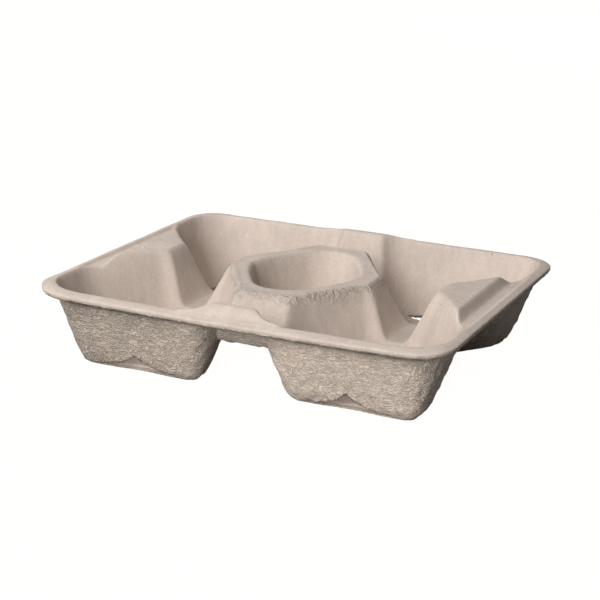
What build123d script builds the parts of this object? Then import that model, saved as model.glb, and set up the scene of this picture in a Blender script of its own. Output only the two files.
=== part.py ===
"""Four-cup carrier tray, moulded in one piece from paper pulp.

The tray is a single sheet of even thickness draped over a mould: a rim with a turned-down lip,
four drafted cup pockets whose floors are the feet, a raised centre collar round a well, a wedge at
each side and a hump at the front and back, with a valley between each of these and the collar.
The sheet is the mould form under its upper face, less the same form set back by the wall.
Millimetres, +Z up, +X along the long side, feet on Z = 0, centred on the origin.
"""
import os
from math import atan2, cos, hypot, radians, sin, tan

from build123d import *

# Sheet and rim
WALL = 2.2
RIM_LENGTH = 220.0
RIM_WIDTH = 190.0
RIM_CORNER = 20.0
RIM_HEIGHT = 42.9          # feet to the rim's crest
CREST_INSET = 2.5          # outer edge to the crest
LIP_DROP = 2.7             # crest to the top of the lip's edge
RIM_LAND = 5.4             # outer edge to the pocket's mouth

# Cup pockets
DRAFT = 20.0
NOSE_HALF = 8.5            # half the web left between two pockets across the side valleys
HUMP_ROOT_HALF = 8.0       # half the web left between two pockets at the front and back rim
FLOOR_CORNER = 6.0         # radius of the floor's outer corner, before its bend
FLOOR_FILLET = 0.75 * FLOOR_CORNER

# Centre collar and its well
COLLAR_LENGTH = 0.373 * RIM_LENGTH
COLLAR_WIDTH = 0.537 * RIM_WIDTH
COLLAR_END_HALF = 12.5     # half the collar's straight edge at the front and back
COLLAR_RISE = 1.5
RING = 11.5                # collar's outer edge to the well's mouth
WELL_SIDE_HALF = 12.0      # half the well's straight edge at the sides
WELL_END_HALF = 10.0       # half the well's straight edge at the front and back
WELL_DRAFT = 15.0
WELL_DEPTH = 31.0
WELL_RADIUS = 6.5
WELL_FILLET = 4.0

# Wedges at the sides and humps at the front and back
WEDGE_LENGTH = 0.127 * RIM_LENGTH     # pocket mouth at the side rim to the wedge's nose
WEDGE_ROOT_HALF = 0.232 * RIM_WIDTH   # half the wedge's width where it leaves the side rim
WEDGE_ROOT_RADIUS = 10.0
WEDGE_RISE = 4.2
WEDGE_TOP = 0.6 * WEDGE_LENGTH        # length of the wedge's flat top
WEDGE_STEP = 0.22 * WEDGE_LENGTH      # run of the step down to the shoulder
SHOULDER_DROP = 1.5
HUMP_RISE = 3.2
HUMP_NOSE = 9.0            # pocket mouth at the front rim to the hump's inner edge
HUMP_TOP = 3.0

# Valleys between the collar and the wedges or humps
SIDE_VALLEY_DEPTH = 24.5
SIDE_VALLEY_SHIFT = 1.5    # valley floor's centre, outward from halfway
FRONT_VALLEY_DEPTH = 18.0
FRONT_VALLEY_SHIFT = 1.5
VALLEY_FLOOR_HALF = 3.0
VALLEY_RADIUS = 0.9 * VALLEY_FLOOR_HALF

# Rounding of the raised tops
TOP_FILLET = 3.0

# Slits between the outer walls and the pocket floors
FRONT_SLIT_SHARE = 0.78    # slit's length over the length of the floor's edge
SIDE_SLIT_SHARE = 1.1
SLIT_OPENING = 0.25        # slit's width at its middle over its length

# Heights and places that follow
CREST = RIM_HEIGHT
FLOOR_DEPTH = RIM_HEIGHT - WALL
FLOOR_INSET = FLOOR_DEPTH * tan(radians(DRAFT))
MOUTH_X = RIM_LENGTH / 2 - RIM_LAND
MOUTH_Y = RIM_WIDTH / 2 - RIM_LAND
MOUTH_CORNER = FLOOR_CORNER + FLOOR_INSET
COLLAR_X = COLLAR_LENGTH / 2
COLLAR_Y = COLLAR_WIDTH / 2
WELL_X = COLLAR_X - RING
WELL_Y = COLLAR_Y - RING
WEDGE_X = MOUTH_X - WEDGE_LENGTH
HUMP_Y = MOUTH_Y - HUMP_NOSE
SIDE_VALLEY_X = (COLLAR_X + WEDGE_X) / 2 + SIDE_VALLEY_SHIFT
FRONT_VALLEY_Y = (COLLAR_Y + HUMP_Y) / 2 + FRONT_VALLEY_SHIFT
WEB = WEDGE_X - COLLAR_X
HUMP_SIDE = MOUTH_Y - COLLAR_Y
CLEAR = 12.0               # how far cutters and blanks run past the sheet
SAME_LEVEL = 0.01          # edges this close in height lie on one flat top

# Pocket corners from the hump round by the pan's outer corner to the collar's end
POCKET_MOUTH = [
    (HUMP_ROOT_HALF, MOUTH_Y),
    (MOUTH_X, MOUTH_Y),
    (MOUTH_X, WEDGE_ROOT_HALF),
    (WEDGE_X, NOSE_HALF),
    (COLLAR_X, NOSE_HALF),
    (COLLAR_END_HALF, COLLAR_Y),
]
# Radii of the same corners without the pan's, which is a cone
POCKET_RADII = [0.16 * HUMP_SIDE, WEDGE_ROOT_RADIUS, 0.3 * WEB, 0.3 * WEB, 0.42 * HUMP_SIDE]
WELL_MOUTH = [
    (WELL_X, -WELL_SIDE_HALF),
    (WELL_X, WELL_SIDE_HALF),
    (WELL_END_HALF, WELL_Y),
    (-WELL_END_HALF, WELL_Y),
    (-WELL_X, WELL_SIDE_HALF),
    (-WELL_X, -WELL_SIDE_HALF),
    (-WELL_END_HALF, -WELL_Y),
    (WELL_END_HALF, -WELL_Y),
]


def grown(corners, amount):
    """Corners of a convex outline with every edge moved outward by the amount."""
    following = corners[1:] + corners[:1]
    turn = sum(ax * by - ay * bx for (ax, ay), (bx, by) in zip(corners, following))
    side = 1 if turn > 0 else -1
    lines = []
    for (ax, ay), (bx, by) in zip(corners, following):
        length = hypot(bx - ax, by - ay)
        nx = side * (by - ay) / length
        ny = side * (ax - bx) / length
        lines.append((nx, ny, nx * ax + ny * ay + amount))
    moved = []
    for (ax, ay, ad), (bx, by, bd) in zip(lines[-1:] + lines[:-1], lines):
        det = ax * by - ay * bx
        moved.append(((ad * by - bd * ay) / det, (ax * bd - bx * ad) / det))
    return moved


def frustum(base, top, low, high):
    """Flat-faced solid between a base outline and a top outline of as many corners."""
    below = [(x, y, low) for x, y in base]
    above = [(x, y, high) for x, y in top]
    sides = zip(below, below[1:] + below[:1], above[1:] + above[:1], above)
    faces = [make_face(Polyline(*ring, close=True)).face() for ring in [below, above, *sides]]
    return Solid(Shell(faces))


def hollow(corners, draft, depth, setback):
    """Drafted flat-walled hollow below an outline at the crest's height, and its floor's corners."""
    slope = tan(radians(draft))
    shift = setback / cos(radians(draft))
    floor = CREST - depth - setback
    base = grown(corners, shift - (depth + setback) * slope)
    mouth = grown(corners, shift + CLEAR * slope)
    return frustum(base, mouth, floor, CREST + CLEAR), [Vector(x, y, floor) for x, y in base]


def rounded_hollow(solid, feet, radii, floor_fillet, setback):
    """The hollow with the corners that rise from the feet rounded, and then the bend round its floor."""
    for foot, radius in zip(feet, radii):
        upright = solid.edges().filter_by(Plane.XY, reverse=True).sort_by_distance(foot)[0]
        solid = fillet(upright, radius + setback)
    return fillet(solid.faces().sort_by(Axis.Z)[0].edges(), floor_fillet + setback)


def pan(setback):
    """The pockets' outer walls as one drafted pan, its four corners cones."""
    slope = tan(radians(DRAFT))
    spread = setback / cos(radians(DRAFT)) + CLEAR * slope
    mouth = RectangleRounded(2 * (MOUTH_X + spread), 2 * (MOUTH_Y + spread), MOUTH_CORNER + spread)
    return extrude(Pos(0, 0, CREST + CLEAR) * mouth, -(CLEAR + FLOOR_DEPTH + setback), taper=DRAFT)


def pocket(setback):
    """Cup pocket: the part of the pan that the flat walls of wedge, web, collar and hump leave open."""
    walls, feet = hollow(POCKET_MOUTH, DRAFT, FLOOR_DEPTH, setback)
    inner_feet = feet[:1] + feet[2:]
    return rounded_hollow(walls & pan(setback), inner_feet, POCKET_RADII, FLOOR_FILLET, setback)


def prism(points, plane, half_length, setback, radius=0):
    """Prism of a closed profile on a plane, grown by the setback, centred along the plane's normal."""
    face = make_face(Polyline(*points, close=True))
    if radius:
        face = fillet(face.vertices().sort_by(Axis.Y)[:2], radius)
    if setback:
        face = offset(face, setback, kind=Kind.INTERSECTION)
    return extrude(plane * face, half_length, both=True)


def four_ways(solid):
    """The solid and its mirror images across both upright middle planes."""
    pair = both_ways(solid, Plane.YZ)
    return pair + [mirror(one, Plane.XZ) for one in pair]


def both_ways(solid, plane):
    """The solid and its mirror image across a middle plane."""
    return [solid, mirror(solid, plane)]


def deck(setback):
    """Blank under the rim: the crest, the slope outside it and the land under the lip."""
    lean = atan2(CREST_INSET, LIP_DROP)
    inset = setback * (1 - sin(lean)) / cos(lean)
    outline = RectangleRounded(RIM_LENGTH - 2 * inset, RIM_WIDTH - 2 * inset, RIM_CORNER - inset)
    crown = extrude(Pos(0, 0, CREST - setback) * outline, -CLEAR)
    crest = crown.faces().sort_by(Axis.Z)[-1]
    crown = chamfer(crest.edges(), CREST_INSET, LIP_DROP, reference=crest)
    spread = 2 * CLEAR if setback else 0
    land = RectangleRounded(RIM_LENGTH + spread, RIM_WIDTH + spread, RIM_CORNER)
    return crown + extrude(Pos(0, 0, CREST - LIP_DROP - setback) * land, -(RIM_HEIGHT + CLEAR))


def raised_tops(setback):
    """Blocks that lift the collar, the side wedges and the front and back humps above the crest."""
    base = CREST - CLEAR
    collar_top = CREST + COLLAR_RISE
    collar = prism(
        [
            (-SIDE_VALLEY_X, base),
            (SIDE_VALLEY_X, base),
            (SIDE_VALLEY_X, collar_top),
            (-SIDE_VALLEY_X, collar_top),
        ],
        Plane.XZ, FRONT_VALLEY_Y, -setback,
    )
    step = WEDGE_X + WEDGE_TOP
    wedge = prism(
        [
            (SIDE_VALLEY_X, base),
            (step + WEDGE_STEP, base),
            (step + WEDGE_STEP, CREST - SHOULDER_DROP),
            (step, CREST + WEDGE_RISE),
            (SIDE_VALLEY_X, CREST + WEDGE_RISE),
        ],
        Plane.XZ, WEDGE_ROOT_HALF, -setback,
    )
    hump = prism(
        [
            (FRONT_VALLEY_Y, base),
            (MOUTH_Y, base),
            (MOUTH_Y, CREST),
            (HUMP_Y + HUMP_TOP, CREST + HUMP_RISE),
            (FRONT_VALLEY_Y, CREST + HUMP_RISE),
        ],
        Plane.YZ, HUMP_ROOT_HALF + POCKET_RADII[0], -setback,
    )
    return [collar] + both_ways(wedge, Plane.YZ) + both_ways(hump, Plane.XZ)


def shoulder(setback):
    """Shallow gutter between a side wedge's step and the rim."""
    inner = WEDGE_X + WEDGE_TOP + WEDGE_STEP
    profile = [
        (inner, CREST - SHOULDER_DROP),
        (MOUTH_X - SHOULDER_DROP, CREST - SHOULDER_DROP),
        (MOUTH_X, CREST),
        (MOUTH_X, CREST + CLEAR),
        (inner, CREST + CLEAR),
    ]
    return prism(profile, Plane.XZ, WEDGE_ROOT_HALF, setback)


def valley(inner, outer, floor_middle, inner_rise, outer_rise, depth, plane, half_length, setback):
    """Trough between two raised edges, with a narrow rounded floor, running along the plane's normal."""
    floor = CREST - depth
    high = CREST + CLEAR
    inner_slope = (floor_middle - VALLEY_FLOOR_HALF - inner) / (depth + inner_rise)
    outer_slope = (outer - floor_middle - VALLEY_FLOOR_HALF) / (depth + outer_rise)
    profile = [
        (inner - inner_slope * (CLEAR - inner_rise), high),
        (floor_middle - VALLEY_FLOOR_HALF, floor),
        (floor_middle + VALLEY_FLOOR_HALF, floor),
        (outer + outer_slope * (CLEAR - outer_rise), high),
    ]
    return prism(profile, plane, half_length, setback, VALLEY_RADIUS)


def top_edges(form, rise, setback):
    """Edges of the form that lie level at one rise above the crest."""
    height = CREST + rise - setback
    return form.edges().filter_by_position(Axis.Z, height - SAME_LEVEL, height + SAME_LEVEL)


def rounded_tops(form, setback):
    """The form with its collar and wedge tops rounded all round, and its hump tops along their length."""
    radius = TOP_FILLET - setback
    form = fillet(top_edges(form, COLLAR_RISE, setback), radius)
    form = fillet(top_edges(form, WEDGE_RISE, setback), radius)
    return fillet(top_edges(form, HUMP_RISE, setback).filter_by(Axis.X), radius)


def mould_form(setback):
    """Everything under the sheet's upper face, or under its lower face when set back by the wall."""
    form = deck(setback)
    form -= both_ways(shoulder(setback), Plane.YZ)
    form += raised_tops(setback)
    form -= four_ways(pocket(setback))
    side_reach = NOSE_HALF + SIDE_VALLEY_DEPTH * tan(radians(DRAFT)) + VALLEY_RADIUS
    side = valley(
        COLLAR_X, WEDGE_X, SIDE_VALLEY_X, COLLAR_RISE, WEDGE_RISE,
        SIDE_VALLEY_DEPTH, Plane.XZ, side_reach, setback,
    )
    front_reach = COLLAR_END_HALF + FRONT_VALLEY_DEPTH * tan(radians(DRAFT)) + VALLEY_RADIUS
    front = valley(
        COLLAR_Y, HUMP_Y, FRONT_VALLEY_Y, COLLAR_RISE, HUMP_RISE,
        FRONT_VALLEY_DEPTH, Plane.YZ, front_reach, setback,
    )
    form -= both_ways(side, Plane.YZ) + both_ways(front, Plane.XZ)
    well, feet = hollow(WELL_MOUTH, WELL_DRAFT, WELL_DEPTH, setback)
    form -= rounded_hollow(well, feet, [WELL_RADIUS] * len(feet), WELL_FILLET, setback)
    return rounded_tops(form, setback)


def slit(first, second, share):
    """Diamond cut through the sheet along the bend from an outer wall to one edge of a pocket floor."""
    along = Vector(*second) - Vector(*first)
    outward = along.normalized().rotate(Axis.Z, 90)
    bisector = radians((90 + DRAFT) / 2)
    plane = Plane(
        origin=(Vector(*first) + Vector(*second)) / 2 + Vector(0, 0, WALL),
        x_dir=along,
        z_dir=outward * cos(bisector) - Vector(0, 0, sin(bisector)),
    )
    half = share * along.length / 2
    rise = SLIT_OPENING * half
    diamond = Polygon((half, 0), (0, rise), (-half, 0), (0, -rise), align=None)
    return extrude(plane * diamond, CLEAR, both=True)


floor_corners = grown(POCKET_MOUTH, -FLOOR_INSET)
slits = four_ways(slit(*floor_corners[0:2], FRONT_SLIT_SHARE))
slits += four_ways(slit(*floor_corners[1:3], SIDE_SLIT_SHARE))
carrier_tray = mould_form(0) - mould_form(WALL) - slits

os.makedirs("parts", exist_ok=True)
export_step(carrier_tray, "parts/carrier_tray.step")
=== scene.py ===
from math import cos, radians, sin, tan

import bpy
import numpy as np
from mathutils import Matrix, Vector


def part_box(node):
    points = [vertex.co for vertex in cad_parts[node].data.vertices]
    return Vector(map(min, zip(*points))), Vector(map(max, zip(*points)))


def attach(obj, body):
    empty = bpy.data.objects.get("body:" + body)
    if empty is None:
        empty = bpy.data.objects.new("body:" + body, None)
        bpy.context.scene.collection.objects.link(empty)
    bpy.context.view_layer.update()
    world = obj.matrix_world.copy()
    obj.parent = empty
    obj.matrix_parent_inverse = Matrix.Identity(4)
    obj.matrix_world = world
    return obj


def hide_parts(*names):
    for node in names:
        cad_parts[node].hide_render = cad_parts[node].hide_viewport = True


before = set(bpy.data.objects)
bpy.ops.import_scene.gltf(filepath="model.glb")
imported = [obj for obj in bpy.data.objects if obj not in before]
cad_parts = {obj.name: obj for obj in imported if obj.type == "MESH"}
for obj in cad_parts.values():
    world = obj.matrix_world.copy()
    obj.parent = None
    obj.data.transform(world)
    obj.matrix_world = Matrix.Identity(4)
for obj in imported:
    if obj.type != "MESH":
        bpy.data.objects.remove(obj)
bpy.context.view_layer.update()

# Tray sheet
# One sheet of paper pulp, about 2 mm thick, sucked onto a wire-mesh mould and dried: four cup
# pockets, a collar round a centre well, a wedge at each side and a hump at the front and back.
# The upper face is a height over the plan, in millimetres above the table.
MM = 0.001
WALL = 2.2

# Rim, with the lip that turns down outside its crest
tray_low, tray_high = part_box("carrier_tray")
LENGTH, WIDTH = [side / MM for side in (tray_high - tray_low)[:2]]
CORNER = 20.0
CREST = 42.9
LAND = 5.4               # outer edge to the pockets' mouths
LIP_INSET = 3.0          # outer edge to the crest
LIP_DROP = 1.3           # crest down to the outer edge
LIP_HANG = 0.7           # extra thickness at the outer edge
LIP_ROOT = 2.6           # how far in from the edge that reaches

# Pockets, with drafted walls and level floors
DRAFT = 20.0
WEDGE_DRAFT = 20.5       # draft of the walls under the side wedges
FLOOR = WALL
NOSE_HALF = 8.5          # half the web between two pockets at the collar
WEDGE_NOSE_HALF = 10.0   # half that web at the wedge's nose
HUMP_ROOT_HALF = 8.0     # half the web between two pockets at the front and back rim
POCKET_CORNER = 20.5     # radius where the end wall meets its neighbours

# Collar, and the centre well inside its ring
COLLAR_X = 40.0
COLLAR_Y = 51.0
COLLAR_END_HALF = 14.0   # half the straight edge at the front and back
COLLAR_RISE = 1.5
RING = 9.0               # collar's outer edge to the well's mouth
END_RING = 10.5          # the same at the front and back
WELL_DRAFT = 15.0
WELL_DEPTH = 31.0

# Side wedges: a flat top, a step down to a shoulder, and a gutter along the rim
WEDGE_LENGTH = 29.0
WEDGE_ROOT_HALF = 48.5   # half the width at the rim
WEDGE_RISE = 3.3
WEDGE_WARP = 0.4         # the left wedge stands this much higher and the right one lower
WEDGE_TOP = 19.0         # length of the flat top
WEDGE_STEP = 5.0         # run of the step
SHOULDER_DROP = 1.5      # rim's crest down to the shoulder
GUTTER_EDGE = 2.4        # line of the pockets' mouths to the gutter's outer edge
GUTTER_RUN = 2 * SHOULDER_DROP

# Humps at the front and back rim
FRONT_HUMP_RISE = 4.2
BACK_HUMP_RISE = 3.2
HUMP_NOSE = 9.0          # line of the pockets' mouths in to the hump's inner edge
HUMP_TOP = 3.0           # width of the flat top
HUMP_FOOT = 2.5          # how far outside the mouths' line the hump runs out
HUMP_REACH = 27.0        # how far to either side of the middle the rim can be raised

# Valleys between the collar and the wedges, and between the collar and the humps
SIDE_DEPTH = 24.5
FRONT_DEPTH = 18.0
FRONT_SHIFT = 1.5        # centre of the floor, outward from halfway
SIDE_FLOOR_HALF = 6.0
FRONT_FLOOR_HALF = 2.5
VALLEY_REACH = 31.0      # how far to either side of the middle a valley can run

# Sag of the front rim and lift of the left rim, from drying
FRONT_SAG = 1.2
LEFT_LIFT = 0.8
WARP_START = 0.74        # share of the way from the middle to the edge where it sets in

# Blends, the width over which two faces run into each other
CREST_BLEND = 1.4
MOUTH_BLEND = 2.4
TOP_BLEND = 4.5
WELL_BLEND = 4.5
WELL_CORNER_BLEND = 10.0
FLOOR_BLEND = 7.5
RIDGE_BLEND = 5.0

# Grid of the mesh, close along the rim and wider inside it
EDGE_ZONE = 22.0
EDGE_GAP = 0.68
GRID_GAP = 1.25
SLOPE_STEP = 0.2

# Relief of the dried pulp and of the torn rim edge, with the range of its wavelengths
WAVE_COUNT = 40
UPPER_RELIEF = 0.06
UPPER_WAVES = (9.0, 40.0)
UPPER_SEED = 3
LOWER_RELIEF = 0.2
LOWER_WAVES = (3.5, 9.0)
LOWER_SEED = 5
TORN_BULGE = 0.105
TORN_RELIEF = 0.245
TORN_WAVES = (2.0, 7.0)
TORN_SEED = 7

# Lines of the plan, out from the middle
MOUTH_X = LENGTH / 2 - LAND
MOUTH_Y = WIDTH / 2 - LAND
WEDGE_X = MOUTH_X - WEDGE_LENGTH
HUMP_Y = MOUTH_Y - HUMP_NOSE
SIDE_X = (COLLAR_X + WEDGE_X) / 2
FRONT_Y = (COLLAR_Y + HUMP_Y) / 2 + FRONT_SHIFT

# Corners of the mouth of one pocket, from the hump past the collar and the wedge to the outer corner
POCKET_MOUTH = np.array([
    (HUMP_ROOT_HALF, MOUTH_Y),
    (COLLAR_END_HALF, COLLAR_Y),
    (COLLAR_X, NOSE_HALF),
    (WEDGE_X, WEDGE_NOSE_HALF),
    (MOUTH_X, WEDGE_ROOT_HALF),
    (MOUTH_X, MOUTH_Y),
])


def soft_max(a, b, blend):
    """The larger of two heights, raised by a parabola where they differ by less than the blend."""
    near = np.maximum(blend - np.abs(a - b), 0) / blend
    return np.maximum(a, b) + near * near * blend / 4


def soft_min(a, b, blend):
    """The smaller of two heights, lowered by a parabola where they differ by less than the blend."""
    return -soft_max(-a, -b, blend)


def round_max(a, b, radius):
    """The larger of two distances to square edges, with the corner between them an arc."""
    return np.minimum(np.maximum(a, b), -radius) + np.hypot(
        np.maximum(a + radius, 0), np.maximum(b + radius, 0)
    )


def ease(t):
    """A step from 0 to 1 that starts and ends level: 3t^2 - 2t^3."""
    t = np.clip(t, 0, 1)
    return t * t * (3 - 2 * t)


def rim_inset(x, y):
    """Distance inward from the rim's outer edge, a rectangle with arcs for corners."""
    across = np.abs(x) - (LENGTH / 2 - CORNER)
    along = np.abs(y) - (WIDTH / 2 - CORNER)
    reach = np.hypot(np.maximum(across, 0), np.maximum(along, 0))
    return CORNER - reach - np.minimum(np.maximum(across, along), 0)


def beyond(x, y, first, second):
    """Distance outward from the straight edge that runs from one corner to the next."""
    run = second - first
    return (run[1] * (x - first[0]) - run[0] * (y - first[1])) / np.hypot(*run)


def hump_rise(y):
    """Rise of the hump at the front, where y is negative, or at the back."""
    return np.where(y < 0, FRONT_HUMP_RISE, BACK_HUMP_RISE)


def deck_height(x, y):
    """Height of the face that the hollows are cut from: rim, collar, wedges and humps."""
    across, along = np.abs(x), np.abs(y)
    lip = (rim_inset(x, y) - LIP_INSET) * LIP_DROP / LIP_INSET
    deck = soft_min(np.zeros_like(x), lip, CREST_BLEND)
    rise = WEDGE_RISE - WEDGE_WARP * np.sign(x)
    step = ease((across - WEDGE_X - WEDGE_TOP) / WEDGE_STEP)
    gutter = ease((across - MOUTH_X - GUTTER_EDGE) / GUTTER_RUN + 1)
    wedge = rise - (rise + SHOULDER_DROP) * step + SHOULDER_DROP * gutter
    gutter_end = ease((along - WEDGE_ROOT_HALF + LAND) / (2 * LAND))
    wedge = wedge * (1 - gutter_end)
    on_wedge = (across > SIDE_X) & (across < MOUTH_X + GUTTER_EDGE) & (along < WEDGE_ROOT_HALF + LAND)
    deck = np.where(on_wedge, wedge, deck)
    hump_fall = ease((along - HUMP_Y - HUMP_TOP) / (HUMP_NOSE - HUMP_TOP + HUMP_FOOT))
    hump = hump_rise(y) * (1 - hump_fall)
    on_hump = (along > FRONT_Y) & (across < HUMP_REACH) & (along < MOUTH_Y + HUMP_FOOT)
    deck = np.where(on_hump, np.maximum(deck, hump), deck)
    on_collar = (across < SIDE_X) & (along < FRONT_Y)
    return CREST + np.where(on_collar, COLLAR_RISE, deck)


def trough(place, inner, outer, middle, half, inner_rise, outer_rise, depth):
    """Height of a valley: two slopes that fall from the raised edges to a level floor."""
    inner_fall = (depth + inner_rise) / (middle - half - inner)
    outer_fall = (depth + outer_rise) / (outer - middle - half)
    slopes = np.maximum(
        inner_rise - (place - inner) * inner_fall, outer_rise - (outer - place) * outer_fall
    )
    return CREST + soft_max(slopes, np.full_like(place, -depth), RIDGE_BLEND)


def hollow_height(x, y):
    """Height of the pockets and valleys: drafted walls down to level floors, one run into the next."""
    across, along = np.abs(x), np.abs(y)
    edges = [
        beyond(across, along, first, second)
        for first, second in zip(POCKET_MOUTH, np.roll(POCKET_MOUTH, -1, axis=0))
    ]
    hump_side, collar_side, web, wedge_side, side_wall, end_wall = edges
    outside = round_max(side_wall, end_wall, POCKET_CORNER)
    outside = soft_max(outside, round_max(hump_side, end_wall, POCKET_CORNER), RIDGE_BLEND)
    wedge_wall = wedge_side * tan(radians(DRAFT)) / tan(radians(WEDGE_DRAFT))
    for inner_wall in (wedge_wall, collar_side, web):
        outside = soft_max(outside, inner_wall, RIDGE_BLEND)
    pocket = CREST + outside / tan(radians(DRAFT))
    pocket = soft_max(pocket, np.full_like(x, FLOOR), FLOOR_BLEND)
    side = trough(
        across, COLLAR_X, WEDGE_X, SIDE_X, SIDE_FLOOR_HALF, COLLAR_RISE, WEDGE_RISE, SIDE_DEPTH
    )
    front = trough(
        along, COLLAR_Y, HUMP_Y, FRONT_Y, FRONT_FLOOR_HALF, COLLAR_RISE, hump_rise(y), FRONT_DEPTH
    )
    above = 2 * CREST
    hollow = soft_min(pocket, np.where(along < VALLEY_REACH, side, above), RIDGE_BLEND)
    return soft_min(hollow, np.where(across < VALLEY_REACH, front, above), RIDGE_BLEND)


def well_height(x, y):
    """Height of the centre well: the collar's own outline drawn in by the ring, drafted to a floor."""
    across, along = np.abs(x), np.abs(y)
    slant = beyond(across, along, np.array((COLLAR_X, NOSE_HALF)), np.array((COLLAR_END_HALF, COLLAR_Y)))
    outside = soft_max(slant + RING, across - COLLAR_X + RING, WELL_CORNER_BLEND)
    outside = soft_max(outside, along - COLLAR_Y + END_RING, WELL_CORNER_BLEND)
    well = CREST + COLLAR_RISE + outside / tan(radians(WELL_DRAFT))
    return soft_max(well, np.full_like(x, CREST - WELL_DEPTH), FLOOR_BLEND)


def warp(x, y):
    """Rise of the dried rim: up towards the left end, down along the front between its corners."""
    leftward = ease((-2 * x / LENGTH - WARP_START) / (1 - WARP_START))
    forward = ease((-2 * y / WIDTH - WARP_START) / (1 - WARP_START))
    return LEFT_LIFT * leftward - FRONT_SAG * forward * (1 - (2 * x / LENGTH) ** 2)


def upper_face(x, y):
    """Height of the sheet's upper face: the lowest of deck, hollows and well, with soft edges.

    It is then warped, by more the higher it lies, so the feet stay on the table.
    """
    blend = MOUTH_BLEND + (TOP_BLEND - MOUTH_BLEND) * ease((rim_inset(x, y) - LAND) / CORNER)
    sheet = soft_min(deck_height(x, y), hollow_height(x, y), blend)
    sheet = soft_min(sheet, well_height(x, y), WELL_BLEND)
    return sheet * (1 + warp(x, y) / CREST)


def face_slopes(x, y):
    """Slopes of the upper face along X and Y, from heights one small step to either side."""
    slope_x = (upper_face(x + SLOPE_STEP, y) - upper_face(x - SLOPE_STEP, y)) / (2 * SLOPE_STEP)
    slope_y = (upper_face(x, y + SLOPE_STEP) - upper_face(x, y - SLOPE_STEP)) / (2 * SLOPE_STEP)
    return slope_x, slope_y


def upper_normals(x, y):
    """Unit normals of the upper face, from its two slopes."""
    slope_x, slope_y = face_slopes(x, y)
    normal = np.stack([-slope_x, -slope_y, np.ones_like(x)], axis=-1)
    return normal / np.linalg.norm(normal, axis=-1, keepdims=True)


def grid_lines(half):
    """Grid lines from -half to half, close together in the edge zones and wider between them."""
    inner = half - EDGE_ZONE
    middle = np.linspace(-inner, inner, int(2 * inner / GRID_GAP) + 1)
    outer = np.linspace(inner, half, int(EDGE_ZONE / EDGE_GAP) + 1)[1:]
    return np.concatenate([-outer[::-1], middle, outer])


def plan_grid():
    """Plan of the sheet: straight grid lines, with each square corner drawn in to a quarter disc.

    In a corner, a and b run from 0 to 1 over the corner's radius and go to
    a sqrt(1 - b^2 / 2) and b sqrt(1 - a^2 / 2), so the outermost lines become the arc.
    """
    x, y = np.meshgrid(grid_lines(LENGTH / 2), grid_lines(WIDTH / 2), indexing="ij")
    a = np.maximum(np.abs(x) - (LENGTH / 2 - CORNER), 0) / CORNER
    b = np.maximum(np.abs(y) - (WIDTH / 2 - CORNER), 0) / CORNER
    x = x - np.sign(x) * CORNER * a * (1 - np.sqrt(1 - b * b / 2))
    y = y - np.sign(y) * CORNER * b * (1 - np.sqrt(1 - a * a / 2))
    return x, y


def ripple(points, wavelengths, seed):
    """Even random relief about 0: a sum of sine waves of random directions and phases."""
    draw = np.random.default_rng(seed)
    heading = draw.normal(size=(WAVE_COUNT, 3))
    heading /= np.linalg.norm(heading, axis=1, keepdims=True)
    length = draw.uniform(*wavelengths, size=WAVE_COUNT)
    phase = draw.uniform(0, 2 * np.pi, size=WAVE_COUNT)
    relief = np.zeros(points.shape[:-1])
    for direction, wave, start in zip(heading, length, phase):
        relief += np.sin(points @ direction * (2 * np.pi / wave) + start)
    return relief / np.sqrt(WAVE_COUNT / 2)


def skin_faces(index, border):
    """Quads of a closed skin: the upper grid, the lower grid turned over, and two bands round the edge.

    The lower points are numbered after the upper ones, and the points along the edge after both.
    """
    top = np.stack([index[:-1, :-1], index[1:, :-1], index[1:, 1:], index[:-1, 1:]], axis=-1)
    top = top.reshape(-1, 4)
    bottom = top[:, ::-1] + index.size
    edge = np.arange(len(border)) + 2 * index.size
    next_border = np.roll(border, -1)
    next_edge = np.roll(edge, -1)
    upper_band = np.stack([border, edge, next_edge, next_border], axis=-1)
    lower_band = np.stack([edge, border + index.size, next_border + index.size, next_edge], axis=-1)
    return np.concatenate([top, bottom, upper_band, lower_band]).tolist()


def sheet_mesh():
    """The sheet as a closed skin: upper face, lower face one wall below it, and the torn rim edge.

    Both faces move along the normals by their relief, the lower one's dying out on the table, and the
    middle of the edge bulges outward by an uneven amount.
    """
    x, y = plan_grid()
    normal = upper_normals(x, y)
    upper = np.stack([x, y, upper_face(x, y)], axis=-1)
    lower = upper - normal * WALL
    upper = upper + normal * (UPPER_RELIEF * ripple(upper, UPPER_WAVES, UPPER_SEED))[..., None]
    crust = LOWER_RELIEF * ripple(lower, LOWER_WAVES, LOWER_SEED)
    lower = lower - normal * (crust * ease(lower[..., 2] / WALL))[..., None]
    lower[..., 2] -= LIP_HANG * (1 - ease(rim_inset(x, y) / LIP_ROOT))
    index = np.arange(x.size).reshape(x.shape)
    border = np.concatenate([index[:-1, 0], index[-1, :-1], index[:0:-1, -1], index[0, :0:-1]])
    upper, lower = upper.reshape(-1, 3), lower.reshape(-1, 3)
    edge = (upper[border] + lower[border]) / 2
    outward = upper[border] * (1, 1, 0)
    outward /= np.linalg.norm(outward, axis=1, keepdims=True)
    bulge = TORN_BULGE + TORN_RELIEF * ripple(edge, TORN_WAVES, TORN_SEED)
    edge = edge + outward * bulge[:, None]
    return np.concatenate([upper, lower, edge]), skin_faces(index, border)


def mesh_object(name, points, faces):
    """A new smooth-shaded object at the origin from points in millimetres and lists of face corners."""
    mesh = bpy.data.meshes.new(name)
    mesh.from_pydata((points * MM).tolist(), [], faces)
    mesh.polygons.foreach_set("use_smooth", [True] * len(faces))
    mesh.update()
    piece = bpy.data.objects.new(name, mesh)
    bpy.context.scene.collection.objects.link(piece)
    return piece


tray = mesh_object("pulp_tray", *sheet_mesh())

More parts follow.
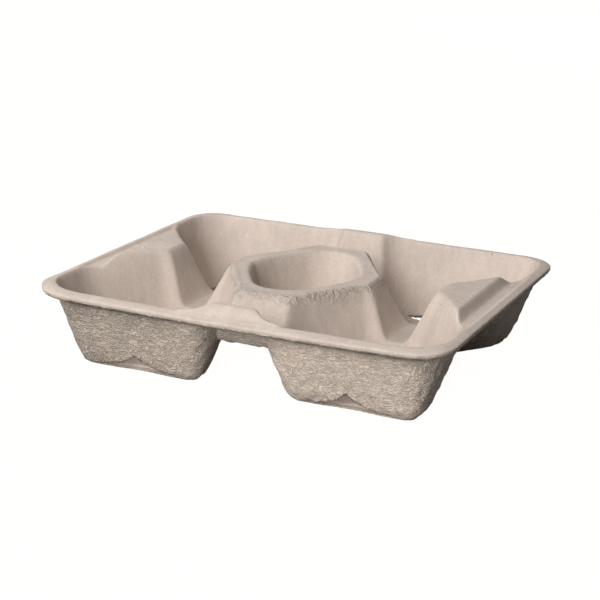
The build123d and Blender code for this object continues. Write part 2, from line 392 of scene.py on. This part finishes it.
# Floor slits
# Each pocket floor is slit along its bend with the two outer walls, so that the pocket gives to cups of
# several sizes. The torn edges gape: a pointed arch in the wall and a shallower one in the floor.
OUTER_CORNER = 5                # corner of the floor that both bends start from
END_WALL, SIDE_WALL = 0, 4      # corners that they run to
SLITS = [
    # pocket, wall, shift towards the pocket's outer corner, share of the bend, rise, recess
    ((1, 1), END_WALL, -8.0, 0.62, 0.22, 0.14),
    ((-1, 1), END_WALL, 0.0, 0.68, 0.20, 0.12),
    ((-1, -1), END_WALL, 0.0, 0.68, 0.35, 0.20),
    ((1, -1), END_WALL, 0.0, 0.68, 0.35, 0.20),
    ((1, 1), SIDE_WALL, 0.0, 0.70, 0.25, 0.15),
    ((-1, 1), SIDE_WALL, 0.0, 0.70, 0.15, 0.08),
    ((-1, -1), SIDE_WALL, 0.0, 0.70, 0.25, 0.15),
    ((1, -1), SIDE_WALL, 0.0, 0.70, 0.25, 0.15),
]
SLIT_POWER = 1.7
SLIT_RAGGED = 0.18
SLIT_END = 0.25                 # share of half a slit over which its raggedness dies out
SLIT_SEED = 11
SLIT_SPACING = 9.0              # between the lines of the ripple that the slits follow
SLIT_STEPS = 61
SLIT_REACH = 12.0               # how far the cut runs to either side of the bend


def floor_corners():
    """Corners of a pocket's floor: each edge of its mouth moved in by the draft, met with the next."""
    following = np.roll(POCKET_MOUTH, -1, axis=0)
    run = following - POCKET_MOUTH
    normal = np.stack([run[:, 1], -run[:, 0]], axis=1) / np.linalg.norm(run, axis=1)[:, None]
    drafts = np.radians([DRAFT, DRAFT, DRAFT, WEDGE_DRAFT, DRAFT, DRAFT])
    offset = (normal * POCKET_MOUTH).sum(axis=1) - (CREST - FLOOR) * np.tan(drafts)
    pairs = np.stack([np.roll(normal, 1, axis=0), normal], axis=1)
    return np.linalg.solve(pairs, np.stack([np.roll(offset, 1), offset], axis=1)[..., None])[..., 0]


def slit_prism(first, second, number, shift, share, rise, recess):
    """Prism through the bend on one floor edge, along the bisector of floor and wall.

    Its outline is a lens: up the wall a pointed arch, a power of the nearness to the middle, and in the
    floor a parabola, both made ragged by ripples that die out at the ends.
    """
    towards = (first - second) / np.linalg.norm(first - second)
    first, second = first + shift * towards, second + shift * towards
    # Clockwise round the tray, so that outward is to the left
    if first[0] * second[1] > first[1] * second[0]:
        first, second = second, first
    along = np.append(second - first, 0)
    half = share * np.linalg.norm(along) / 2
    along = along / np.linalg.norm(along)
    outward = np.array((-along[1], along[0], 0))
    middle = np.append((first + second) / 2, FLOOR)
    bisector = radians((90 + DRAFT) / 2)
    through = outward * cos(bisector) - np.array((0, 0, sin(bisector)))
    upward = outward * sin(bisector) + np.array((0, 0, cos(bisector)))
    u = np.linspace(-1, 1, SLIT_STEPS)
    fade = ease((1 - np.abs(u)) / SLIT_END)
    places = np.stack([u * half, np.full_like(u, SLIT_SPACING * number), np.zeros_like(u)], axis=-1)
    ragged = SLIT_RAGGED * ripple(places, TORN_WAVES, SLIT_SEED) * fade
    high = rise * half * (1 - np.abs(u)) ** SLIT_POWER + ragged
    low = -recess * half * (1 - u * u) - SLIT_RAGGED * fade + ragged
    run = np.concatenate([u, u[-2:0:-1]]) * half
    height = np.concatenate([high, low[-2:0:-1]])
    outline = middle + along * run[:, None] + upward * height[:, None]
    points = np.concatenate([outline + through * SLIT_REACH, outline - through * SLIT_REACH])
    count = len(outline)
    start = np.arange(count)
    end = np.roll(start, -1)
    sides = np.stack([start, start + count, end + count, end], axis=1).tolist()
    return points, [start.tolist(), (start[::-1] + count).tolist()] + sides


corners = floor_corners()
cutters = []
for pocket, wall, *opening in SLITS:
    quarter = corners * pocket
    prism = slit_prism(quarter[OUTER_CORNER], quarter[wall], len(cutters), *opening)
    cutters.append(mesh_object("slit", *prism))
for cutter in cutters:
    cut = tray.modifiers.new("slit", "BOOLEAN")
    cut.operation = "DIFFERENCE"
    cut.solver = "EXACT"
    cut.object = cutter
cut_tray = bpy.data.meshes.new_from_object(tray.evaluated_get(bpy.context.evaluated_depsgraph_get()))
tray.modifiers.clear()
tray.data = cut_tray
for cutter in cutters:
    bpy.data.objects.remove(cutter)

# Pin marks
# The suction holes of the mould leave small hard nipples on the upper face, here and there. They are of
# the same pulp as the sheet and grown into it, so they are joined to its mesh.
PIN_PLACES = np.array([
    (73.4, 88.3), (101.9, 34.7), (101.7, -44.8), (82.5, 19.0), (84.4, -15.5), (81.8, -18.0), (93.4, -8.0),
    (102.4, 82.3), (-90.5, -12.0), (-99.5, 33.5), (-1.0, -81.0),
])
PIN_RADIUS = 0.8
PIN_SINK = 0.25
PIN_STEPS = 8


def pin_mesh(centre):
    """A closed ball of rings and quads, with a fan of triangles at each pole."""
    turn = np.linspace(0, 2 * np.pi, 2 * PIN_STEPS, endpoint=False)
    rise = np.linspace(-np.pi / 2, np.pi / 2, PIN_STEPS + 1)[1:-1]
    rise, turn = [grid.ravel() for grid in np.meshgrid(rise, turn, indexing="ij")]
    rings = np.stack([np.cos(rise) * np.cos(turn), np.cos(rise) * np.sin(turn), np.sin(rise)], axis=-1)
    points = centre + PIN_RADIUS * np.concatenate([rings, [(0, 0, -1), (0, 0, 1)]])
    index = np.arange(len(rings)).reshape(-1, 2 * PIN_STEPS)
    after = np.roll(index, -1, axis=1)
    sides = np.stack([index[:-1], after[:-1], after[1:], index[1:]], axis=-1).reshape(-1, 4)
    low = np.stack([after[0], index[0], np.full_like(index[0], len(rings))], axis=-1)
    high = np.stack([index[-1], after[-1], np.full_like(index[0], len(rings) + 1)], axis=-1)
    return points, sides.tolist() + low.tolist() + high.tolist()


pin_heights = upper_face(*PIN_PLACES.T) - PIN_SINK
pins = [mesh_object("pin", *pin_mesh(centre)) for centre in np.column_stack([PIN_PLACES, pin_heights])]
with bpy.context.temp_override(active_object=tray, selected_editable_objects=[tray, *pins]):
    bpy.ops.object.join()

# Pulp finish
# Matt grey-brown felted paper. The upper face was pressed smooth against the mould and keeps only fine
# grain and faint streaks; the lower face dried in the open and is a crust of squiggly fibres.
UPPER_COLOUR = (0.615, 0.522, 0.455, 1)
# Same pulp as the upper face; the lower face's paler colour is painted light that brightens the outer
# walls
LOWER_COLOUR_PAINTED_PALER = (0.695, 0.583, 0.486, 1)
TORN_COLOUR = (0.560, 0.475, 0.400, 1)
# Painted shade: low in the slits the torn edges turn to this darker colour
SLIT_SHADE_COLOUR = (0.380, 0.310, 0.255, 1)
WHITE = (1, 1, 1, 1)
ROUGHNESS = 0.92
SPECULAR = 0.12

# Where each finish lies: shares of the way through the wall, and the heights over which the torn edges go
# from painted shade in the slits to their own colour at the rim
LOWER_DEPTHS = (0.55, 0.95)
TORN_START_DEPTHS = (0.15, 0.4)
TORN_END_DEPTHS = (0.6, 0.9)
TORN_SHADE_HEIGHTS = (0.0, 25 * MM)

# Crumpled edges of the collar, darkened by painted shade in their folds, and the painted shadow under the
# lip
CREASE_REACH = 9.0
WELL_CREASE = 0.4        # share of the crumple that is left at the well's edge
LIP_SHADOW_FADE = 4.6

# Noise layers: cells to a metre, octaves of detail, stretch along the axes, distortion
FIBRE_CELLS = (170.0, 300.0)
FIBRE_DETAIL = 1.0
FIBRE_STRETCH = (0.8, 0.8, 1.5)
FIBRE_TWIST = 1.5
FIBRE_WIDTH = 0.07
CRUMB_CELLS = 1100.0
FINE_CELLS = 900.0
FINE_DETAIL = 4.0
STREAK_CELLS = 260.0
STREAK_STRETCH = (1, 1, 0.08)
MOTTLE_CELLS = 45.0
CRUMPLE_CELLS = 330.0
CRUMPLE_TWIST = 1.2

# Span of each layer's values, and the shades at its two ends
MOTTLE_SPAN, MOTTLE_SHADES = (0.3, 0.7), (0.94, 1.04)
STREAK_SPAN, STREAK_SHADES = (0.3, 0.7), (0.96, 1.03)
FINE_SPAN, FINE_SHADES = (0.25, 0.75), (0.93, 1.05)
FOLD_SPAN, FOLD_PAINTED_SHADES = (0.25, 0.6), (1.0, 0.80)
CRUST_SPAN, CRUST_SHADES = (0.0, 1.0), (0.93, 1.05)
LIP_SHADOW_SPAN, LIP_SHADOW_SHADES = (0.0, 0.9), (1.0, 0.12)

# Relief in millimetres
FINE_RELIEF = 0.10
FOLD_RELIEF = 1.5
FIBRE_RELIEF = 0.55
CRUMB_RELIEF = 0.4

# The lower face grows smoother from left to right, and paler: painted shade that darkens its left end
CRUST_PLACES = (-90 * MM, 20 * MM)
CRUST_PAINTED_SHADES = (0.86, 1.1)
CRUST_ROUGH = (1.0, 0.6)


def sheet_depth(points):
    """How far points lie through the sheet, from 0 on the upper face to 1 on the lower face.

    The drop below the upper face times the cosine of that face's slope, over the wall.
    """
    x, y, z = points.T
    slope_x, slope_y = face_slopes(x, y)
    drop = upper_face(x, y) - z
    return np.clip(drop / np.sqrt(1 + slope_x ** 2 + slope_y ** 2) / WALL, 0, 1)


def crease_share(points):
    """How near points lie to the collar's top edges, from 0 away from them to 1 on them.

    An edge is where the deck and the hollows, or the ring and the well, are at one height.
    """
    x, y = points.T[:2]
    deck = deck_height(x, y)
    outer = 1 - np.abs(deck - hollow_height(x, y)) / CREASE_REACH
    inner = WELL_CREASE - np.abs(deck - well_height(x, y)) / CREASE_REACH
    on_collar = (np.abs(x) < SIDE_X) & (np.abs(y) < FRONT_Y)
    return ease(np.maximum(outer, inner)) * on_collar


def painted_lip_shadow(points):
    """How deep points lie in the painted shadow under the lip, from 1 in it to 0 some way down the wall.
    """
    x, y, z = points.T
    below = CREST + warp(x, y) - LIP_DROP - WALL - LIP_HANG - z
    return ease((rim_inset(x, y) - LIP_ROOT) / LIP_ROOT) * (1 - ease(below / LIP_SHADOW_FADE))


def add_node(tree, kind, sockets=(), **settings):
    """A new shader node with its settings, and each socket given a constant or joined to an output."""
    made = tree.nodes.new("ShaderNode" + kind)
    for name, value in settings.items():
        setattr(made, name, value)
    for socket, value in dict(sockets).items():
        if isinstance(value, bpy.types.NodeSocket):
            tree.links.new(value, made.inputs[socket])
        else:
            made.inputs[socket].default_value = value
    return made


def maths(tree, operation, first, second):
    """Output of a math node on two values."""
    return add_node(tree, "Math", {0: first, 1: second}, operation=operation).outputs[0]


def product(tree, first, *others):
    """Output of a chain of math nodes that multiplies all the values."""
    result = first
    for other in others:
        result = maths(tree, "MULTIPLY", result, other)
    return result


def ramp(tree, value, span, ends=(0.0, 1.0)):
    """Output of a smooth step that goes from the first end to the second over a span of the value."""
    limits = dict(zip(("From Min", "From Max", "To Min", "To Max"), (*span, *ends)))
    made = add_node(tree, "MapRange", {"Value": value, **limits}, interpolation_type="SMOOTHSTEP")
    return made.outputs["Result"]


def grain(tree, place, cells, detail=3.0, stretch=(1, 1, 1), twist=0.0):
    """Output of a noise texture, its scale in cells to a metre, stretched along the axes."""
    spread = add_node(tree, "Mapping", {"Vector": place, "Scale": stretch})
    sockets = {"Vector": spread.outputs[0], "Scale": cells, "Detail": detail, "Distortion": twist}
    return add_node(tree, "TexNoise", sockets).outputs["Fac"]


def squiggles(tree, place, cells):
    """Output that peaks along the winding lines where a distorted noise passes its middle value, 0.5."""
    noise = grain(tree, place, cells, FIBRE_DETAIL, FIBRE_STRETCH, FIBRE_TWIST)
    off_line = add_node(tree, "Math", {0: maths(tree, "SUBTRACT", noise, 0.5)}, operation="ABSOLUTE")
    return ramp(tree, off_line.outputs[0], (0.0, FIBRE_WIDTH), (1.0, 0.0))


def mixed(tree, factor, first, second, blend="MIX"):
    """Output of a mix of two colours, which are sockets 6 and 7 of the node."""
    made = add_node(tree, "Mix", {0: factor, 6: first, 7: second}, data_type="RGBA", blend_type=blend)
    return made.outputs[2]


coordinates = np.empty(3 * len(tray.data.vertices))
tray.data.vertices.foreach_get("co", coordinates)
points = coordinates.reshape(-1, 3) / MM
for name, measure in (("depth", sheet_depth), ("crease", crease_share), ("lip_shadow", painted_lip_shadow)):
    layer = tray.data.attributes.new(name, "FLOAT", "POINT")
    layer.data.foreach_set("value", measure(points))

pulp = bpy.data.materials.new("pulp")
pulp.use_nodes = True
tree = pulp.node_tree
shader = tree.nodes["Principled BSDF"]
place = add_node(tree, "TexCoord").outputs["Object"]
axes = add_node(tree, "SeparateXYZ", {0: place}).outputs
depth, crease, lip_shadow = [
    add_node(tree, "Attribute", attribute_name=name).outputs["Fac"]
    for name in ("depth", "crease", "lip_shadow")
]
under = ramp(tree, depth, LOWER_DEPTHS)
torn = product(tree, ramp(tree, depth, TORN_START_DEPTHS), ramp(tree, depth, TORN_END_DEPTHS, (1.0, 0.0)))

fibres = maths(tree, "MAXIMUM", *[squiggles(tree, place, cells) for cells in FIBRE_CELLS])
crumbs = grain(tree, place, CRUMB_CELLS)
fine = grain(tree, place, FINE_CELLS, FINE_DETAIL)
streaks = grain(tree, place, STREAK_CELLS, stretch=STREAK_STRETCH)
mottle = grain(tree, place, MOTTLE_CELLS)
folds = product(tree, grain(tree, place, CRUMPLE_CELLS, twist=CRUMPLE_TWIST), crease)

# Shades of the lower face: its fibres' own tones, the painted shadow under the lip, and painted shade at
# the left end
crust = product(
    tree,
    ramp(tree, fibres, CRUST_SPAN, CRUST_SHADES),
    # painted shadow of the lip on the wall below it
    ramp(tree, lip_shadow, LIP_SHADOW_SPAN, LIP_SHADOW_SHADES),
    # painted shade, darker towards the left end
    ramp(tree, axes["X"], CRUST_PLACES, CRUST_PAINTED_SHADES),
)
shade = product(
    tree,
    ramp(tree, mottle, MOTTLE_SPAN, MOTTLE_SHADES),
    ramp(tree, streaks, STREAK_SPAN, STREAK_SHADES),
    ramp(tree, fine, FINE_SPAN, FINE_SHADES),
    # painted shade in the crumpled folds along the collar's edges
    ramp(tree, folds, FOLD_SPAN, FOLD_PAINTED_SHADES),
    mixed(tree, under, WHITE, crust),
)
# The lower face's colour is the pulp's own, made paler by painted light
colour = mixed(tree, under, UPPER_COLOUR, LOWER_COLOUR_PAINTED_PALER)
# Torn edges: their own colour at the rim, darkened by painted shade low down in the slits
torn_colour_and_shade = mixed(tree, ramp(tree, axes["Z"], TORN_SHADE_HEIGHTS), SLIT_SHADE_COLOUR, TORN_COLOUR)
colour = mixed(tree, torn, colour, torn_colour_and_shade)
colour = mixed(tree, 1.0, colour, shade, "MULTIPLY")
tree.links.new(colour, shader.inputs["Base Color"])

upper_relief = product(tree, maths(tree, "ADD", fine, streaks), FINE_RELIEF)
upper_relief = maths(tree, "ADD", upper_relief, product(tree, folds, FOLD_RELIEF))
lower_relief = maths(tree, "ADD", product(tree, fibres, FIBRE_RELIEF), product(tree, crumbs, CRUMB_RELIEF))
lower_relief = product(tree, lower_relief, ramp(tree, axes["X"], CRUST_PLACES, CRUST_ROUGH))
relief = mixed(tree, under, upper_relief, lower_relief)
bump = add_node(tree, "Bump", {"Height": relief, "Distance": MM, "Strength": 1.0})
tree.links.new(bump.outputs[0], shader.inputs["Normal"])
shader.inputs["Roughness"].default_value = ROUGHNESS
shader.inputs["Specular IOR Level"].default_value = SPECULAR
tray.data.materials.append(pulp)
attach(tray, "root")
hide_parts("carrier_tray")

# Floor and studio
# A plain white paper floor that runs out past the view, lit by wide soft lamps. The camera sees the floor
# and the room as white, while bounced light finds a grey floor and a dark room.
FLOOR_SIZE = 6.0
FLOOR_COLOUR = (0.2, 0.2, 0.2, 1)
FLOOR_GLOW = (1, 0.985, 0.965, 1)
GLOW_STRENGTH = 1.12
GLOW_SHARE = 0.9
LAMP_SPREAD = 0.56       # side of a lamp over its distance
LAMPS = [
    # name, degrees from the front towards the right, degrees up, distance in metres, power in watts
    ("left", -90, 46, 0.72, 2.1),
    ("front_low", -2, 8, 1.6, 10.5),
    ("front_high", -2, 36, 1.6, 20.0),
    ("right_high", 90, 68, 1.6, 1.8),
    ("back", 180, 8, 1.6, 8.0),
]


def seen_directly(tree):
    """Output of 1 for what the camera sees, also in a mirror or through glass, and 0 for bounced light."""
    path = add_node(tree, "LightPath")
    gloss = maths(tree, "MAXIMUM", path.outputs["Is Glossy Ray"], path.outputs["Is Transmission Ray"])
    return maths(tree, "MAXIMUM", path.outputs["Is Camera Ray"], gloss)


def bearing(azimuth, elevation):
    """Unit vector at an azimuth turned from the front towards the right and an elevation, in degrees."""
    turn, rise = radians(azimuth), radians(elevation)
    return Vector((sin(turn) * cos(rise), -cos(turn) * cos(rise), sin(rise)))


def area_lamp(name, azimuth, elevation, distance, power):
    """A square soft lamp that faces the tray."""
    lamp = bpy.data.lights.new(name, "AREA")
    lamp.size = LAMP_SPREAD * distance
    lamp.energy = power
    holder = bpy.data.objects.new(name, lamp)
    holder.location = distance * bearing(azimuth, elevation)
    holder.rotation_euler = holder.location.to_track_quat("Z", "Y").to_euler()
    bpy.context.scene.collection.objects.link(holder)


floor = mesh_object(
    "floor",
    np.array([(-1, -1, 0), (1, -1, 0), (1, 1, 0), (-1, 1, 0)]) * FLOOR_SIZE / 2 / MM,
    [(0, 1, 2, 3)],
)
paper = bpy.data.materials.new("white_floor")
paper.use_nodes = True
tree = paper.node_tree
matt = tree.nodes["Principled BSDF"]
matt.inputs["Base Color"].default_value = FLOOR_COLOUR
matt.inputs["Roughness"].default_value = 1.0
glow = add_node(tree, "Emission", {"Color": FLOOR_GLOW, "Strength": GLOW_STRENGTH})
share = maths(tree, "MULTIPLY", seen_directly(tree), GLOW_SHARE)
blend = add_node(tree, "MixShader", {0: share, 1: matt.outputs[0], 2: glow.outputs[0]})
tree.links.new(blend.outputs[0], tree.nodes["Material Output"].inputs["Surface"])
floor.data.materials.append(paper)

world = bpy.data.worlds.new("studio")
bpy.context.scene.world = world
world.use_nodes = True
tree = world.node_tree
tree.nodes["Background"].inputs["Color"].default_value = WHITE
tree.links.new(seen_directly(tree), tree.nodes["Background"].inputs["Strength"])
for lamp in LAMPS:
    area_lamp(*lamp)

# Camera
# A long lens to the right of the front, a little above the tray. Its place was found by fitting the rim,
# the feet and the pockets to the photograph. Lengths are in millimetres from the tray's middle, level
# with the rim's crest.
VIEW_AZIMUTH = 23.97
VIEW_ELEVATION = 16.87
VIEW_ROLL = radians(1.7)
VIEW_DISTANCE = 830.77
VIEW_ASIDE = -2.91
VIEW_ABOVE = -14.72
SENSOR = 36.0
FOCAL_PIXELS = 1587.62
IMAGE_PIXELS = 600

back = bearing(VIEW_AZIMUTH, VIEW_ELEVATION)
level_right = Vector((cos(radians(VIEW_AZIMUTH)), sin(radians(VIEW_AZIMUTH)), 0))
level_up = back.cross(level_right)
right = level_right * cos(VIEW_ROLL) + level_up * sin(VIEW_ROLL)
up = level_up * cos(VIEW_ROLL) - level_right * sin(VIEW_ROLL)
centre = back * VIEW_DISTANCE + right * VIEW_ASIDE + up * VIEW_ABOVE + Vector((0, 0, CREST))
lens = bpy.data.cameras.new("camera")
lens.sensor_width = SENSOR
lens.lens = FOCAL_PIXELS / IMAGE_PIXELS * SENSOR
camera = bpy.data.objects.new("camera", lens)
turn = Matrix((right, up, back)).transposed().to_4x4()
camera.matrix_world = Matrix.Translation(centre * MM) @ turn
bpy.context.scene.collection.objects.link(camera)
bpy.context.scene.camera = camera
bpy.context.scene.view_settings.view_transform = "Standard"
